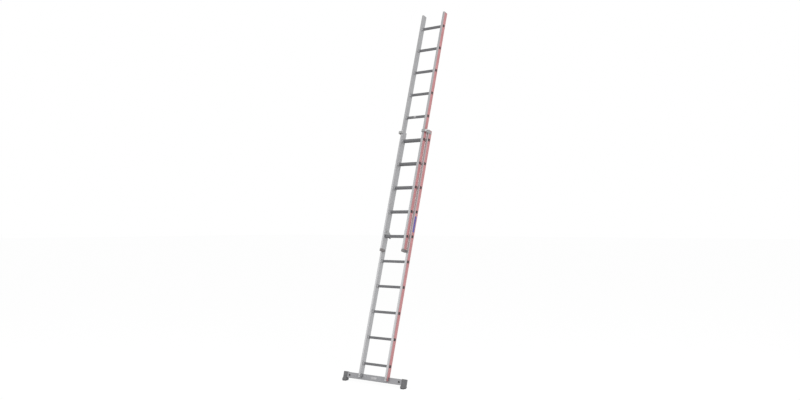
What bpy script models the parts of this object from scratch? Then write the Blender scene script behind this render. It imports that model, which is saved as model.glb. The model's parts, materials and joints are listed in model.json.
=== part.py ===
# Two-section push-up extension ladder, leaning at its working angle.
#
# Everything is modelled in the ladder's own frame and then leaned over by one empty:
# X runs across the rungs, -Y is the climber's side and Z runs up the stiles, with zero
# at the lower ends of the lower stiles. The fly section rides in front of the base
# section and between its stiles. All sizes are in metres.

import math

import bmesh
import bpy
from mathutils import Vector

LEAN = math.radians(16.2)          # from the vertical, top away from the climber

# Sections
RUNG_PITCH = 0.280
RUNG_COUNT = 10                    # in each section
PITCHES_OUT = 5                    # how far the fly section stands drawn out
UPPER_WIDTH = 0.320                # fly section, over the outer faces of its stiles
SECTION_SIDE_GAP = 0.005           # fly stile to base stile, on each side
SECTION_LAP = 0.007                # depth of fly stile that lies between the base stiles
HOOK_DROP = 0.010                  # fly rungs hang this far under the base rungs
LOWER_FIRST_RUNG = 0.151           # stile end to the first rung
LOWER_TOP_MARGIN = 0.109           # last rung to the stile's top end
UPPER_FIRST_RUNG = 0.170
UPPER_TOP_MARGIN = 0.170

# Stiles and rungs
STILE_WIDTH = 0.024
STILE_DEPTH = 0.060
STILE_WALL = 0.0018
STILE_CORNER = 0.003
RUNG_SIDE = 0.026
RUNG_WALL = 0.0016
RUNG_CORNER = 0.0045
RUNG_PROUD = 0.0006                # rung end beyond the stile's outer face
LOWER_WIDTH = UPPER_WIDTH + 2 * (STILE_WIDTH + SECTION_SIDE_GAP)
SECTION_OFFSET = STILE_DEPTH - SECTION_LAP

# Base bar, its bolts and its feet
BAR_LENGTH = 0.820
BAR_HEIGHT = 0.060
BAR_DEPTH = 0.028
BAR_WALL = 0.002
BAR_CORNER = 0.003
BAR_BELOW_STILE = 0.020            # bar's lower face under the stile ends
BOLT_RADIUS = 0.004
BOLT_HEAD_RADIUS = 0.0075
BOLT_HEAD_HEIGHT = 0.005
BOLT_TAIL = 0.003                  # thread beyond the nut
NUT_HEIGHT = 0.0065
NOTCH_CORNER = 0.001
CUTTER_OVERRUN = 0.010             # cutter beyond the face that it opens
PLUG_CORNER = 0.001
FOOT_LENGTH = 0.048
FOOT_WALL = 0.004
FOOT_DEPTH = 0.052                 # across the foot's widest, at the sole
FOOT_DROP = 0.032                  # bar's lower face to the floor, at the foot's middle
FOOT_FLARE = 0.012                 # height over which the foot widens
FOOT_END_WALL = 0.005
SOLE_THICKNESS = 0.008
SOLE_INSET = 0.003
FOOT_SCREW_INSET = 0.034           # foot's inner end to the screw's middle
FOOT_SCREW_HEAD = 0.011
FOOT_SCREW_HEIGHT = 0.004
FOOT_SCREW_RIM = 0.0022            # height of the head's upright edge
FOOT_SCREW_LENGTH = 0.014
FOOT_TOP_ROUND = 0.006
FOOT_ROUND = 0.003
FOOT_SOLE_ROUND = 0.002
SOLE_ROUND = 0.0015

# End caps and slide shoes
CAP_THICKNESS = 0.004
CAP_PLUG_LENGTH = 0.014
SHOE_HEIGHT = 0.024                # sleeve up the outside of the fly stile
SHOE_WALL = 0.0022
SHOE_FLOOR = 0.005
SHOE_EAR_REACH = 0.016             # ear over the base stile's front face
SHOE_EAR_THICKNESS = 0.009
SHOE_EAR_ROUND = 0.003
SHOE_EAR_EDGE = 0.001
SHOE_EAR_BELOW_TOP = 0.004
SHOE_CHAMFER = 0.003

# Guides at the top of the base section
GUIDE_HEIGHT = 0.028
GUIDE_THICKNESS = 0.0025
GUIDE_BELOW_TOP = 0.010            # strap's upper edge under the stile's top end
GUIDE_BACK_REACH = 0.016           # strap behind the stile's middle
GUIDE_BEND = 0.008
GUIDE_LIP = 0.012
PAD_THICKNESS = 0.0035
PAD_RIM = 0.002                    # pad above and below the strap
GUIDE_BOLT_RADIUS = 0.003
GUIDE_BOLT_HEAD = 0.006
GUIDE_BOLT_HEAD_HEIGHT = 0.0035
GUIDE_BOLT_RIM = 0.002
GUIDE_BOLT_INNER_HEAD = 0.004      # height of the head inside the stile
HEAD_TOP = 0.6                     # a head's flat top, as a share of its radius

# Rung hooks and their safety latches
HOOK_THICKNESS = 0.006
HOOK_ARM = 0.020                   # height of the arm over the rung
HOOK_BEAK = 0.009                  # thickness behind the rung
HOOK_PLATE_HEIGHT = 0.056
HOOK_PLATE_DEPTH = 0.050
HOOK_PLATE_SETBACK = 0.006         # plate's rear edge inside the fly stile's rear face
HOOK_NOSE = 0.004
HOOK_PLATE_ROUND = 0.010
HOOK_BEAK_ROUND = 0.004
HOOK_ROUND = 0.003
HOOK_EDGE = 0.002
RIVET_RADIUS = 0.004
RIVET_HEAD = 0.008
RIVET_HEAD_HEIGHT = 0.003
RIVET_RIM = 0.0015
LATCH_THICKNESS = 0.004
LATCH_HEIGHT = 0.008
LATCH_REACH = 0.034                # pivot to the tip, forward under the rung
LATCH_PIN_RADIUS = 0.0025
LATCH_PIN_HEAD = 0.005
LATCH_PIN_HEAD_HEIGHT = 0.002
LATCH_PIN_CLIP = 0.0015            # thickness of the pin's far head
LATCH_TIP_ROUND = 0.002
LATCH_TIP_EDGE = 0.001
SPRING_WIRE = 0.0006               # radius
SPRING_TURNS = 3
SPRING_STEPS = 12                  # points on each turn
SPRING_SPACE = 0.0002              # between the turns
SPRING_LEG = 0.004

GAP = 0.0003                       # between pieces that touch
SLIDE_GAP = 0.0006                 # between pieces that slide on each other

SIDES = {"left": -1, "right": 1}

LOWER_HALF = LOWER_WIDTH / 2
UPPER_HALF = UPPER_WIDTH / 2
LOWER_LENGTH = LOWER_FIRST_RUNG + RUNG_PITCH * (RUNG_COUNT - 1) + LOWER_TOP_MARGIN
UPPER_LENGTH = UPPER_FIRST_RUNG + RUNG_PITCH * (RUNG_COUNT - 1) + UPPER_TOP_MARGIN
UPPER_START = LOWER_FIRST_RUNG + RUNG_PITCH * PITCHES_OUT - HOOK_DROP - UPPER_FIRST_RUNG

BAR_BACK = STILE_DEPTH / 2
BAR_FRONT = BAR_BACK - BAR_DEPTH
BAR_MIDDLE = (BAR_BACK + BAR_FRONT) / 2
BAR_BOTTOM = -BAR_BELOW_STILE
BAR_TOP = BAR_BOTTOM + BAR_HEIGHT
BAR_BOLT_LEVEL = BAR_TOP / 2       # middle of the stile's tongue
FLOOR_AT_FOOT = BAR_BOTTOM - FOOT_DROP


# Outlines ------------------------------------------------------------------

def rounded_rectangle(width, depth, radius, segments=2):
    points = []
    corners = ((1, 1, 0), (-1, 1, 90), (-1, -1, 180), (1, -1, 270))
    for sign_x, sign_y, start in corners:
        for step in range(segments + 1):
            angle = math.radians(start + 90 * step / segments)
            points.append((sign_x * (width / 2 - radius) + radius * math.cos(angle),
                           sign_y * (depth / 2 - radius) + radius * math.sin(angle)))
    return points


def circle(radius, sides=16):
    return [(radius * math.cos(2 * math.pi * step / sides),
             radius * math.sin(2 * math.pi * step / sides)) for step in range(sides)]


def rounded_polygon(points, radii, segments=3):
    """Round the corners of a polygon, each with its own radius."""
    outline = []
    count = len(points)
    for index, radius in enumerate(radii):
        corner = Vector(points[index])
        to_last = (Vector(points[index - 1]) - corner).normalized()
        to_next = (Vector(points[(index + 1) % count]) - corner).normalized()
        if radius == 0:
            outline.append(tuple(corner))
            continue
        half = to_last.angle(to_next) / 2
        reach = radius / math.tan(half)
        centre = corner + (to_last + to_next).normalized() * radius / math.sin(half)
        start = corner + to_last * reach - centre
        end = corner + to_next * reach - centre
        turn = start.angle_signed(end)
        for step in range(segments + 1):
            angle = -turn * step / segments
            x = start.x * math.cos(angle) - start.y * math.sin(angle)
            y = start.x * math.sin(angle) + start.y * math.cos(angle)
            outline.append((centre.x + x, centre.y + y))
    return outline


def strip(path, thickness):
    """Outline of a bent strip, centred on its path."""
    left, right = [], []
    for index, point in enumerate(path):
        before = Vector(path[max(index - 1, 0)])
        after = Vector(path[min(index + 1, len(path) - 1)])
        along = (after - before).normalized()
        across = Vector((-along.y, along.x)) * thickness / 2
        left.append(tuple(Vector(point) + across))
        right.append(tuple(Vector(point) - across))
    return left + right[::-1]


def arc(centre, radius, start, end, segments=5):
    points = []
    for step in range(segments + 1):
        angle = math.radians(start + (end - start) * step / segments)
        points.append((centre[0] + radius * math.cos(angle),
                       centre[1] + radius * math.sin(angle)))
    return points


# Meshes and objects --------------------------------------------------------

def loft(rings, ring_closed=False):
    """Closed mesh through outlines of equal length, each at its own height."""
    bm = bmesh.new()
    loops = [[bm.verts.new((x, y, z)) for x, y in outline] for outline, z in rings]
    pairs = list(zip(loops, loops[1:]))
    if ring_closed:
        pairs.append((loops[-1], loops[0]))
    for low, high in pairs:
        for index in range(len(low)):
            after = (index + 1) % len(low)
            bm.faces.new((low[index], low[after], high[after], high[index]))
    if not ring_closed:
        bm.faces.new(loops[0])
        bm.faces.new(loops[-1])
    bmesh.ops.recalc_face_normals(bm, faces=bm.faces)
    return bm


def prism(outline, low, high):
    return loft([(outline, low), (outline, high)])


def tube(outer, inner, low, high):
    return loft([(outer, low), (outer, high), (inner, high), (inner, low)],
                ring_closed=True)


def turned(steps, sides=16):
    """Solid of circles along Z, from (radius, height) steps."""
    return loft([(circle(radius, sides), height) for radius, height in steps])


def join(meshes):
    """Several closed meshes in one, for a cutter."""
    whole = bmesh.new()
    for bm in meshes:
        part = bpy.data.meshes.new("part")
        bm.to_mesh(part)
        bm.free()
        whole.from_mesh(part)
        bpy.data.meshes.remove(part)
    return whole


def moved(bm, offset):
    bmesh.ops.translate(bm, vec=offset, verts=bm.verts)
    return bm


def along_x(bm):
    """Turn a mesh built along Z so that it runs along X, and its X and Y become Y and Z."""
    for vert in bm.verts:
        x, y, z = vert.co
        vert.co = (z, x, y)
    return bm


def along_y(bm):
    """Turn a mesh built along Z so that it runs along Y."""
    for vert in bm.verts:
        x, y, z = vert.co
        vert.co = (y, z, x)
    return bm


def mirrored(bm, side):
    """The mesh as drawn for the right side, or its mirror image for the left one."""
    if side < 0:
        for vert in bm.verts:
            vert.co.x = -vert.co.x
        bmesh.ops.reverse_faces(bm, faces=bm.faces)
    return bm


def finish(name, bm, material, parent, location=(0, 0, 0)):
    mesh = bpy.data.meshes.new(name)
    bm.to_mesh(mesh)
    bm.free()
    mesh.materials.append(material)
    mesh.shade_smooth()
    mesh.set_sharp_from_angle(angle=math.radians(35))
    obj = bpy.data.objects.new(name, mesh)
    bpy.context.scene.collection.objects.link(obj)
    obj.parent = parent
    obj.location = location
    return obj


def cut(obj, bm):
    """Cut a mesh given in the object's own coordinates out of the object."""
    mesh = bpy.data.meshes.new(obj.name + "_cutter")
    bm.to_mesh(mesh)
    bm.free()
    cutter = bpy.data.objects.new(mesh.name, mesh)
    bpy.context.scene.collection.objects.link(cutter)
    cutter.parent = obj.parent
    cutter.location = obj.location
    cutter.hide_render = True
    cutter.display_type = "WIRE"
    modifier = obj.modifiers.new(cutter.name, "BOOLEAN")
    modifier.operation = "DIFFERENCE"
    modifier.solver = "EXACT"
    modifier.object = cutter


def empty(name, parent=None, location=(0, 0, 0)):
    obj = bpy.data.objects.new(name, None)
    bpy.context.scene.collection.objects.link(obj)
    obj.parent = parent
    obj.location = location
    return obj


def make_material(name, colour, roughness, metallic):
    material = bpy.data.materials.new(name)
    material.use_nodes = True
    shader = material.node_tree.nodes["Principled BSDF"]
    shader.inputs["Base Color"].default_value = (*colour, 1)
    shader.inputs["Roughness"].default_value = roughness
    shader.inputs["Metallic"].default_value = metallic
    return material


def make_materials():
    return {
        "aluminium": make_material("aluminium", (0.62, 0.62, 0.63), 0.38, 1.0),
        "coated": make_material("red_coated_aluminium", (0.50, 0.14, 0.15), 0.42, 0.3),
        "steel": make_material("zinc_plated_steel", (0.55, 0.56, 0.57), 0.35, 1.0),
        "plastic": make_material("dark_plastic", (0.06, 0.06, 0.065), 0.55, 0.0),
        "foot": make_material("grey_plastic", (0.16, 0.16, 0.165), 0.6, 0.0),
        "rubber": make_material("rubber", (0.035, 0.035, 0.037), 0.85, 0.0),
    }


# Sections ------------------------------------------------------------------

def rung_levels(first):
    return [first + RUNG_PITCH * index for index in range(RUNG_COUNT)]


def rung_outline(clearance=0.0, inset=0.0):
    side = RUNG_SIDE + 2 * clearance - 2 * inset
    return rounded_rectangle(side, side, RUNG_CORNER + clearance - inset)


def add_stile(name, half_width, side, length, first_rung, material, parent):
    outer = rounded_rectangle(STILE_WIDTH, STILE_DEPTH, STILE_CORNER)
    inner = rounded_rectangle(STILE_WIDTH - 2 * STILE_WALL, STILE_DEPTH - 2 * STILE_WALL,
                              STILE_CORNER - STILE_WALL)
    middle = side * (half_width - STILE_WIDTH / 2)
    stile = finish(name, tube(outer, inner, 0, length), material, parent, (middle, 0, 0))
    hole = rung_outline(clearance=GAP)
    reach = STILE_WIDTH
    holes = [moved(along_x(prism(hole, -reach, reach)), (0, 0, level))
             for level in rung_levels(first_rung)]
    cut(stile, join(holes))
    return stile


def add_rungs(prefix, half_width, first_rung, material, parent):
    half = half_width + RUNG_PROUD
    for number, level in enumerate(rung_levels(first_rung), start=1):
        bm = along_x(tube(rung_outline(), rung_outline(inset=RUNG_WALL), -half, half))
        finish(f"{prefix}_rung_{number:02d}", bm, material, parent, (0, 0, level))


def add_top_cap(name, half_width, side, length, material, parent):
    """A plug in the stile's open end under a plate that covers its wall."""
    inner = STILE_WALL + GAP
    plug = rounded_rectangle(STILE_WIDTH - 2 * inner, STILE_DEPTH - 2 * inner,
                             STILE_CORNER - STILE_WALL)
    plate = rounded_rectangle(STILE_WIDTH, STILE_DEPTH, STILE_CORNER)
    edge = CAP_THICKNESS / 3
    crown = rounded_rectangle(STILE_WIDTH - 2 * edge, STILE_DEPTH - 2 * edge, STILE_CORNER)
    rings = [(plug, -CAP_PLUG_LENGTH), (plug, GAP), (plate, GAP),
             (plate, GAP + CAP_THICKNESS - edge), (crown, GAP + CAP_THICKNESS)]
    middle = side * (half_width - STILE_WIDTH / 2)
    finish(name, loft(rings), material, parent, (middle, 0, length))


def add_lower_section(parent, materials):
    for word, side in SIDES.items():
        stile = add_stile(f"lower_stile_{word}", LOWER_HALF, side, LOWER_LENGTH,
                          LOWER_FIRST_RUNG, materials["coated"], parent)
        notch_depth = BAR_DEPTH + GAP + CUTTER_OVERRUN
        outline = rounded_rectangle(2 * STILE_WIDTH, notch_depth, NOTCH_CORNER)
        notch = prism(outline, -CUTTER_OVERRUN, BAR_TOP + GAP)
        cut(stile, moved(notch, (0, BAR_FRONT - GAP + notch_depth / 2, 0)))
        bolt_hole = moved(along_y(turned([(BOLT_RADIUS + GAP, -STILE_DEPTH),
                                          (BOLT_RADIUS + GAP, 0)])),
                          (0, 0, BAR_BOLT_LEVEL))
        cut(stile, bolt_hole)
        guide_hole = moved(along_x(turned([(GUIDE_BOLT_RADIUS + GAP, 0),
                                           (GUIDE_BOLT_RADIUS + GAP, STILE_WIDTH)])),
                           (0, 0, guide_level()))
        cut(stile, mirrored(guide_hole, side))
        add_top_cap(f"lower_cap_{word}", LOWER_HALF, side, LOWER_LENGTH,
                    materials["foot"], parent)
    add_rungs("lower", LOWER_HALF, LOWER_FIRST_RUNG, materials["aluminium"], parent)


def add_upper_section(parent, materials):
    for word, side in SIDES.items():
        stile = add_stile(f"upper_stile_{word}", UPPER_HALF, side, UPPER_LENGTH,
                          UPPER_FIRST_RUNG, materials["coated"], parent)
        middle = side * (UPPER_HALF - STILE_WIDTH / 2)
        hole = turned([(RIVET_RADIUS + GAP, -STILE_WIDTH), (RIVET_RADIUS + GAP, 0)])
        cut(stile, mirrored(moved(along_x(hole), (0, 0, rivet_level())), side))
        add_top_cap(f"upper_cap_{word}", UPPER_HALF, side, UPPER_LENGTH,
                    materials["foot"], parent)
        add_slide_shoe(f"slide_shoe_{word}", side, middle, materials["plastic"], parent)
    add_rungs("upper", UPPER_HALF, UPPER_FIRST_RUNG, materials["aluminium"], parent)


# Base bar and feet ---------------------------------------------------------

def stile_bolt_x():
    return LOWER_HALF - STILE_WIDTH / 2


def foot_inner_end():
    return BAR_LENGTH / 2 + FOOT_END_WALL - FOOT_LENGTH


def foot_screw_x():
    return foot_inner_end() - FOOT_SCREW_INSET


def floor_line(y):
    """Height in the ladder's frame at which the level floor lies, behind or in front."""
    return FLOOR_AT_FOOT + (y - BAR_MIDDLE) * math.tan(LEAN)


def add_base_bar(parent, materials):
    outer = rounded_rectangle(BAR_DEPTH, BAR_HEIGHT, BAR_CORNER)
    inner = rounded_rectangle(BAR_DEPTH - 2 * BAR_WALL, BAR_HEIGHT - 2 * BAR_WALL,
                              BAR_CORNER - BAR_WALL)
    bm = along_x(tube(outer, inner, -BAR_LENGTH / 2, BAR_LENGTH / 2))
    middle = (0, BAR_MIDDLE, (BAR_TOP + BAR_BOTTOM) / 2)
    bar = finish("base_bar", bm, materials["aluminium"], parent, middle)
    holes = []
    for side in SIDES.values():
        radius = BOLT_RADIUS + GAP
        through = along_y(turned([(radius, -BAR_DEPTH), (radius, BAR_DEPTH)]))
        holes.append(moved(through, (side * stile_bolt_x(), 0, BAR_BOLT_LEVEL - middle[2])))
        front = along_y(turned([(radius, -BAR_DEPTH), (radius, 0)]))
        holes.append(moved(front, (side * foot_screw_x(), 0, 0)))
    cut(bar, join(holes))


def add_stile_plug(name, side, material, parent):
    """Block that fills the stile's tongue in front of the bar."""
    width = STILE_WIDTH - 2 * STILE_WALL - 2 * GAP
    front = -STILE_DEPTH / 2 + STILE_WALL + GAP
    back = BAR_FRONT - GAP
    outline = rounded_rectangle(width, back - front, PLUG_CORNER)
    bm = prism(outline, 0, BAR_TOP)
    plug = finish(name, bm, material, parent, (side * stile_bolt_x(), (front + back) / 2, 0))
    radius = BOLT_RADIUS + GAP
    cut(plug, moved(along_y(turned([(radius, -STILE_DEPTH), (radius, STILE_DEPTH)])),
                    (0, 0, BAR_BOLT_LEVEL)))


def add_bar_bolt(word, side, material, parent):
    """Bolt from the stile's front face through the bar, with its nut behind."""
    head = -STILE_DEPTH / 2 - GAP
    end = BAR_BACK + GAP + NUT_HEIGHT + BOLT_TAIL
    steps = [(BOLT_HEAD_RADIUS * HEAD_TOP, head - BOLT_HEAD_HEIGHT),
             (BOLT_HEAD_RADIUS, head - BOLT_HEAD_HEIGHT * 0.6),
             (BOLT_HEAD_RADIUS, head), (BOLT_RADIUS, head), (BOLT_RADIUS, end)]
    place = (side * stile_bolt_x(), 0, BAR_BOLT_LEVEL)
    finish(f"bar_bolt_{word}", along_y(turned(steps)), material, parent, place)
    hexagon = circle(BOLT_HEAD_RADIUS, 6)
    bore = circle((BOLT_RADIUS + GAP) / math.cos(math.radians(30)), 6)
    nut = tube(hexagon, bore, BAR_BACK + GAP, BAR_BACK + GAP + NUT_HEIGHT)
    finish(f"bar_nut_{word}", along_y(nut), material, parent, place)


def add_foot(word, side, materials, parent):
    """Moulded cap over the bar's end, widening to a level sole."""
    upper = BAR_DEPTH / 2 + GAP + FOOT_WALL
    lower = FOOT_DEPTH / 2
    top = BAR_TOP + GAP + FOOT_WALL
    waist = BAR_BOTTOM
    flare = BAR_BOTTOM - FOOT_FLARE
    sole = SOLE_THICKNESS / math.cos(LEAN)
    outline = [(BAR_MIDDLE - upper, top), (BAR_MIDDLE - upper, waist),
               (BAR_MIDDLE - lower, flare),
               (BAR_MIDDLE - lower, floor_line(BAR_MIDDLE - lower) + sole),
               (BAR_MIDDLE + lower, floor_line(BAR_MIDDLE + lower) + sole),
               (BAR_MIDDLE + lower, flare), (BAR_MIDDLE + upper, waist),
               (BAR_MIDDLE + upper, top)]
    radii = (FOOT_TOP_ROUND, FOOT_ROUND, FOOT_ROUND, FOOT_SOLE_ROUND,
             FOOT_SOLE_ROUND, FOOT_ROUND, FOOT_ROUND, FOOT_TOP_ROUND)
    inner_end = foot_inner_end()
    body = along_x(prism(rounded_polygon(outline, radii), inner_end, inner_end + FOOT_LENGTH))
    foot = finish(f"bar_foot_{word}", mirrored(body, side), materials["foot"], parent)
    pocket = rounded_rectangle(BAR_DEPTH + 2 * GAP, BAR_HEIGHT + 2 * GAP, BAR_CORNER)
    hollow = along_x(prism(pocket, inner_end - CUTTER_OVERRUN, BAR_LENGTH / 2 + GAP))
    hollow = moved(hollow, (0, BAR_MIDDLE, (BAR_TOP + BAR_BOTTOM) / 2))
    cut(foot, mirrored(hollow, side))

    front = BAR_MIDDLE - lower + SOLE_INSET
    back = BAR_MIDDLE + lower - SOLE_INSET
    pad = [(front, floor_line(front)), (back, floor_line(back)),
           (back, floor_line(back) + sole - GAP), (front, floor_line(front) + sole - GAP)]
    bm = along_x(prism(rounded_polygon(pad, (SOLE_ROUND, SOLE_ROUND, 0, 0)),
                       inner_end + SOLE_INSET, inner_end + FOOT_LENGTH - SOLE_INSET))
    finish(f"foot_sole_{word}", mirrored(bm, side), materials["rubber"], parent)


def add_foot_screw(name, side, material, parent):
    """Round-headed screw that holds the foot's strap to the bar's front face."""
    face = BAR_FRONT - GAP
    steps = [(FOOT_SCREW_HEAD * HEAD_TOP, face - FOOT_SCREW_HEIGHT),
             (FOOT_SCREW_HEAD, face - FOOT_SCREW_RIM), (FOOT_SCREW_HEAD, face),
             (BOLT_RADIUS, face), (BOLT_RADIUS, face + FOOT_SCREW_LENGTH)]
    place = (side * foot_screw_x(), 0, (BAR_TOP + BAR_BOTTOM) / 2)
    finish(name, along_y(turned(steps)), material, parent, place)


# Guides and shoes ----------------------------------------------------------

def guide_level():
    return LOWER_LENGTH - GUIDE_BELOW_TOP - GUIDE_HEIGHT / 2


def upper_front():
    return -SECTION_OFFSET - STILE_DEPTH / 2


def add_top_guide(word, side, materials, parent):
    """Strap from the base stile's outer face round the front of the fly stile."""
    half = GUIDE_THICKNESS / 2
    outer_x = LOWER_HALF + GAP + half
    pad_front = upper_front() - SLIDE_GAP - PAD_THICKNESS
    front_y = pad_front - GAP - half
    inner_face = UPPER_HALF - STILE_WIDTH
    pad_inner = inner_face - SLIDE_GAP - PAD_THICKNESS
    lip_x = pad_inner - GAP - half
    bend = GUIDE_BEND
    path = [(outer_x, GUIDE_BACK_REACH)]
    path += arc((outer_x - bend, front_y + bend), bend, 0, -90)
    path += arc((lip_x + bend / 2, front_y + bend / 2), bend / 2, -90, -180)
    path += [(lip_x, front_y + GUIDE_LIP)]
    bm = prism(strip(path, GUIDE_THICKNESS), -GUIDE_HEIGHT / 2, GUIDE_HEIGHT / 2)
    level = guide_level()
    strap = finish(f"top_guide_{word}", mirrored(bm, side), materials["steel"], parent,
                   (0, 0, level))
    radius = GUIDE_BOLT_RADIUS + GAP
    reach = STILE_WIDTH / 2
    hole = along_x(turned([(radius, LOWER_HALF - reach), (radius, LOWER_HALF + reach)]))
    cut(strap, mirrored(hole, side))

    corner = bend / 2 - half
    pad = [(pad_inner + corner, pad_front), (UPPER_HALF, pad_front),
           (UPPER_HALF, pad_front + PAD_THICKNESS), (pad_inner + PAD_THICKNESS,
                                                     pad_front + PAD_THICKNESS),
           (pad_inner + PAD_THICKNESS, front_y + GUIDE_LIP),
           (pad_inner, front_y + GUIDE_LIP), (pad_inner, pad_front + corner)]
    half_height = GUIDE_HEIGHT / 2 + PAD_RIM
    finish(f"guide_pad_{word}", mirrored(prism(pad, -half_height, half_height), side),
           materials["plastic"], parent, (0, 0, level))

    face = LOWER_HALF + 2 * GAP + GUIDE_THICKNESS
    inside = LOWER_HALF - STILE_WALL - GAP
    steps = [(GUIDE_BOLT_HEAD, inside - GUIDE_BOLT_INNER_HEAD), (GUIDE_BOLT_HEAD, inside),
             (GUIDE_BOLT_RADIUS, inside), (GUIDE_BOLT_RADIUS, face),
             (GUIDE_BOLT_HEAD, face), (GUIDE_BOLT_HEAD, face + GUIDE_BOLT_RIM),
             (GUIDE_BOLT_HEAD * HEAD_TOP, face + GUIDE_BOLT_HEAD_HEIGHT)]
    finish(f"guide_bolt_{word}", mirrored(along_x(turned(steps)), side),
           materials["steel"], parent, (0, 0, level))


def add_slide_shoe(name, side, middle, material, parent):
    """Sleeve over the fly stile's lower end, with an ear on the base stile's front face."""
    sleeve = GAP + SHOE_WALL
    low = -GAP - SHOE_FLOOR
    width = STILE_WIDTH + 2 * sleeve
    depth = STILE_DEPTH + 2 * sleeve
    outer = rounded_rectangle(width, depth, STILE_CORNER + sleeve)
    foot = rounded_rectangle(width - 2 * SHOE_CHAMFER, depth - 2 * SHOE_CHAMFER,
                             STILE_CORNER)
    inner = rounded_rectangle(STILE_WIDTH + 2 * GAP, STILE_DEPTH + 2 * GAP,
                              STILE_CORNER + GAP)
    rings = [(foot, low), (outer, low + SHOE_CHAMFER), (outer, SHOE_HEIGHT),
             (inner, SHOE_HEIGHT), (inner, -GAP)]
    shoe = finish(name, loft(rings), material, parent, (middle, 0, 0))
    face = SECTION_OFFSET - STILE_DEPTH / 2 - SLIDE_GAP
    root = STILE_WIDTH / 2 + GAP + SHOE_WALL / 2
    tip = STILE_WIDTH / 2 + (LOWER_HALF - STILE_WIDTH - UPPER_HALF) + SHOE_EAR_REACH
    ear = [(root, face - SHOE_EAR_THICKNESS), (tip, face - SHOE_EAR_THICKNESS), (tip, face),
           (root, face)]
    outline = rounded_polygon(ear, (0, SHOE_EAR_ROUND, SHOE_EAR_EDGE, 0))
    ear_low = low + 2 * SHOE_CHAMFER
    ear_high = SHOE_HEIGHT - SHOE_EAR_BELOW_TOP
    join_to(shoe, mirrored(prism(outline, ear_low, ear_high), side))


def join_to(obj, bm):
    """Union a mesh given in the object's own coordinates with the object."""
    cut(obj, bm)
    obj.modifiers[-1].operation = "UNION"


# Hooks and latches ---------------------------------------------------------

def hook_face():
    """Inner face of the fly stile, on which the hook plate lies."""
    return UPPER_HALF - STILE_WIDTH - GAP


def base_rung():
    """Middle of the base rung that carries the hook, in the fly section's frame."""
    return SECTION_OFFSET, UPPER_FIRST_RUNG + HOOK_DROP


def hook_plate_low():
    return UPPER_FIRST_RUNG + RUNG_SIDE / 2 + GAP


def rivet_level():
    return hook_plate_low() + HOOK_PLATE_HEIGHT * 0.6


def latch_pivot():
    y, z = base_rung()
    half = RUNG_SIDE / 2
    return y + half + 2 * GAP + HOOK_BEAK / 2, z - half - LATCH_HEIGHT / 2 - SLIDE_GAP


def add_hook(word, side, materials, parent):
    """Plate on the fly stile's inner face, with an arm and a beak over the base rung."""
    y, z = base_rung()
    half = RUNG_SIDE / 2
    saddle = z + half + GAP
    beak_in = y + half + 2 * GAP
    beak_out = beak_in + HOOK_BEAK
    pivot_y, pivot_z = latch_pivot()
    low = hook_plate_low()
    high = low + HOOK_PLATE_HEIGHT
    front = -HOOK_PLATE_DEPTH / 2
    back = STILE_DEPTH / 2 - HOOK_PLATE_SETBACK
    throat = y - half - GAP
    outline = [(front, low), (throat - (saddle - low), low), (throat, saddle), (beak_in, saddle),
               (beak_in, pivot_z - HOOK_BEAK / 2), (beak_out, pivot_z - HOOK_BEAK / 2),
               (beak_out, saddle + HOOK_ARM * 0.6), (beak_in - HOOK_NOSE, saddle + HOOK_ARM),
               (back, high), (front, high)]
    radii = (HOOK_ROUND, HOOK_EDGE, HOOK_EDGE, HOOK_EDGE, HOOK_ROUND, HOOK_BEAK_ROUND,
             2 * HOOK_ROUND, HOOK_PLATE_ROUND, HOOK_PLATE_ROUND, HOOK_PLATE_ROUND / 2)
    face = hook_face()
    bm = along_x(prism(rounded_polygon(outline, radii), face - HOOK_THICKNESS, face))
    hook = finish(f"hook_{word}", mirrored(bm, side), materials["steel"], parent)
    holes = []
    for radius, place_y, place_z in ((RIVET_RADIUS, 0, rivet_level()),
                                     (LATCH_PIN_RADIUS, pivot_y, pivot_z)):
        hole = along_x(turned([(radius + GAP, 0), (radius + GAP, UPPER_HALF)]))
        holes.append(moved(hole, (0, place_y, place_z)))
    cut(hook, mirrored(join(holes), side))

    head = face - HOOK_THICKNESS - GAP
    tail = face + GAP + STILE_WALL + GAP
    steps = [(RIVET_HEAD * HEAD_TOP, head - RIVET_HEAD_HEIGHT),
             (RIVET_HEAD, head - RIVET_RIM), (RIVET_HEAD, head), (RIVET_RADIUS, head),
             (RIVET_RADIUS, tail), (RIVET_HEAD * 0.8, tail),
             (RIVET_HEAD * 0.8, tail + RIVET_HEAD_HEIGHT)]
    finish(f"hook_rivet_{word}", mirrored(along_x(turned(steps)), side),
           materials["steel"], parent, (0, 0, rivet_level()))


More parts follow.
